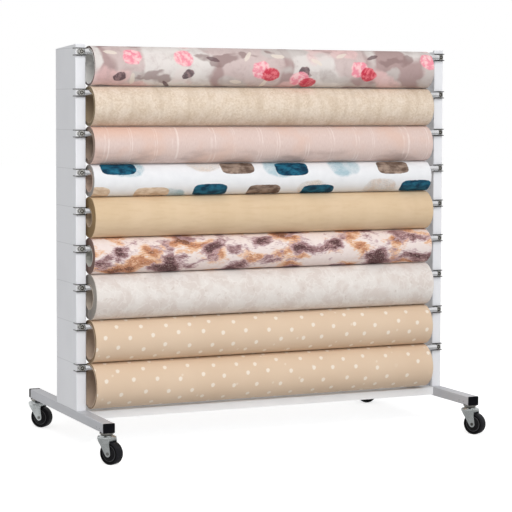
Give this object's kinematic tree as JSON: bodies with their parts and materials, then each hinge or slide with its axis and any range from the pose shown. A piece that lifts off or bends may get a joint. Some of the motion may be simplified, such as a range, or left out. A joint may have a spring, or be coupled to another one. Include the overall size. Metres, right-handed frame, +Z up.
{
  "type": "mobile cloth roll rack",
  "caption": "Free-standing sheet-metal rack on swivel casters that holds a column of cloth rolls on chrome tubes, each free to turn.",
  "frame": {"origin": "on the floor, at the centre of the width and of the depth over feet and casters", "axes": "+Z up, +X across the rack to the right seen from the front, -Y the front"},
  "size_m": [1.5341, 0.8845, 1.454],
  "materials": {
    "panel_white": "satin powder coat",
    "foot_grey": "satin powder coat",
    "chrome": "polished",
    "zinc": "bright zinc plate",
    "black_plastic": "matt",
    "rubber_black": "matt",
    "cardboard": "matt",
    "cloth_1": "matt woven cloth",
    "cloth_2": "matt woven cloth",
    "cloth_3": "matt woven cloth",
    "cloth_4": "matt woven cloth",
    "cloth_5": "matt woven cloth",
    "cloth_6": "matt woven cloth",
    "cloth_7": "matt woven cloth",
    "cloth_8": "matt woven cloth",
    "cloth_9": "matt woven cloth"
  },
  "bodies": {
    "rack_frame": {"upright_left": "panel_white", "upright_right": "panel_white", "foot_left": "foot_grey", "foot_right": "foot_grey", "foot_end_caps": "black_plastic", "bottom_shelf": "panel_white", "brackets_left": "chrome", "brackets_right": "chrome", "knob_screws": "chrome", "hanging_rods": "chrome", "caster_stems": "zinc"},
    "caster_front_left": {"caster_fork_front_left": "zinc", "caster_axle_front_left": "zinc"},
    "wheel_front_left": {"caster_hub_front_left": "black_plastic", "caster_tyre_front_left": "rubber_black"},
    "caster_front_right": {"caster_fork_front_right": "zinc", "caster_axle_front_right": "zinc"},
    "wheel_front_right": {"caster_hub_front_right": "black_plastic", "caster_tyre_front_right": "rubber_black"},
    "caster_back_left": {"caster_fork_back_left": "zinc", "caster_axle_back_left": "zinc"},
    "wheel_back_left": {"caster_hub_back_left": "black_plastic", "caster_tyre_back_left": "rubber_black"},
    "caster_back_right": {"caster_fork_back_right": "zinc", "caster_axle_back_right": "zinc"},
    "wheel_back_right": {"caster_hub_back_right": "black_plastic", "caster_tyre_back_right": "rubber_black"},
    "roll_1": {"roll_core_1": "cardboard", "roll_cloth_1": "cloth_1"},
    "roll_2": {"roll_core_2": "cardboard", "roll_cloth_2": "cloth_2"},
    "roll_3": {"roll_core_3": "cardboard", "roll_cloth_3": "cloth_3"},
    "roll_4": {"roll_core_4": "cardboard", "roll_cloth_4": "cloth_4"},
    "roll_5": {"roll_core_5": "cardboard", "roll_cloth_5": "cloth_5"},
    "roll_6": {"roll_core_6": "cardboard", "roll_cloth_6": "cloth_6"},
    "roll_7": {"roll_core_7": "cardboard", "roll_cloth_7": "cloth_7"},
    "roll_8": {"roll_core_8": "cardboard", "roll_cloth_8": "cloth_8"},
    "roll_9": {"roll_core_9": "cardboard", "roll_cloth_9": "cloth_9"}
  },
  "joints": [
    {"name": "swivel_front_left", "type": "hinge", "parent": "rack_frame", "child": "caster_front_left", "pos_m": [-0.7285, -0.38187, 0.102], "axis": [0, 0, 1], "continuous": true},
    {"name": "wheel_spin_front_left", "type": "hinge", "parent": "caster_front_left", "child": "wheel_front_left", "pos_m": [-0.71737, -0.39967, 0.04], "axis": [0.848, 0.5299, 0], "continuous": true},
    {"name": "swivel_front_right", "type": "hinge", "parent": "rack_frame", "child": "caster_front_right", "pos_m": [0.7285, -0.38187, 0.102], "axis": [0, 0, 1], "continuous": true},
    {"name": "wheel_spin_front_right", "type": "hinge", "parent": "caster_front_right", "child": "wheel_front_right", "pos_m": [0.739, -0.40005, 0.04], "axis": [0.866, 0.5, 0], "continuous": true},
    {"name": "swivel_back_left", "type": "hinge", "parent": "rack_frame", "child": "caster_back_left", "pos_m": [-0.7285, 0.40964, 0.102], "axis": [0, 0, 1], "continuous": true},
    {"name": "wheel_spin_back_left", "type": "hinge", "parent": "caster_back_left", "child": "wheel_back_left", "pos_m": [-0.71472, 0.39379, 0.04], "axis": [0.7547, 0.6561, 0], "continuous": true},
    {"name": "swivel_back_right", "type": "hinge", "parent": "rack_frame", "child": "caster_back_right", "pos_m": [0.7285, 0.40964, 0.102], "axis": [0, 0, 1], "continuous": true},
    {"name": "wheel_spin_back_right", "type": "hinge", "parent": "caster_back_right", "child": "wheel_back_right", "pos_m": [0.70796, 0.414, 0.04], "axis": [-0.2079, -0.9781, 0], "continuous": true},
    {"name": "roll_turn_1", "type": "hinge", "parent": "rack_frame", "child": "roll_1", "pos_m": [-0.021, -0.13437, 1.3765], "axis": [1, 0, 0], "continuous": true},
    {"name": "roll_turn_2", "type": "hinge", "parent": "rack_frame", "child": "roll_2", "pos_m": [-0.021, -0.13437, 1.234], "axis": [1, 0, 0], "continuous": true},
    {"name": "roll_turn_3", "type": "hinge", "parent": "rack_frame", "child": "roll_3", "pos_m": [-0.021, -0.13437, 1.095], "axis": [1, 0, 0], "continuous": true},
    {"name": "roll_turn_4", "type": "hinge", "parent": "rack_frame", "child": "roll_4", "pos_m": [-0.021, -0.13437, 0.9695], "axis": [1, 0, 0], "continuous": true},
    {"name": "roll_turn_5", "type": "hinge", "parent": "rack_frame", "child": "roll_5", "pos_m": [-0.021, -0.13437, 0.8385], "axis": [1, 0, 0], "continuous": true},
    {"name": "roll_turn_6", "type": "hinge", "parent": "rack_frame", "child": "roll_6", "pos_m": [-0.021, -0.13437, 0.7005], "axis": [1, 0, 0], "continuous": true},
    {"name": "roll_turn_7", "type": "hinge", "parent": "rack_frame", "child": "roll_7", "pos_m": [-0.021, -0.13437, 0.5535], "axis": [1, 0, 0], "continuous": true},
    {"name": "roll_turn_8", "type": "hinge", "parent": "rack_frame", "child": "roll_8", "pos_m": [-0.021, -0.13437, 0.3945], "axis": [1, 0, 0], "continuous": true},
    {"name": "roll_turn_9", "type": "hinge", "parent": "rack_frame", "child": "roll_9", "pos_m": [-0.021, -0.13437, 0.23475], "axis": [1, 0, 0], "continuous": true}
  ]
}
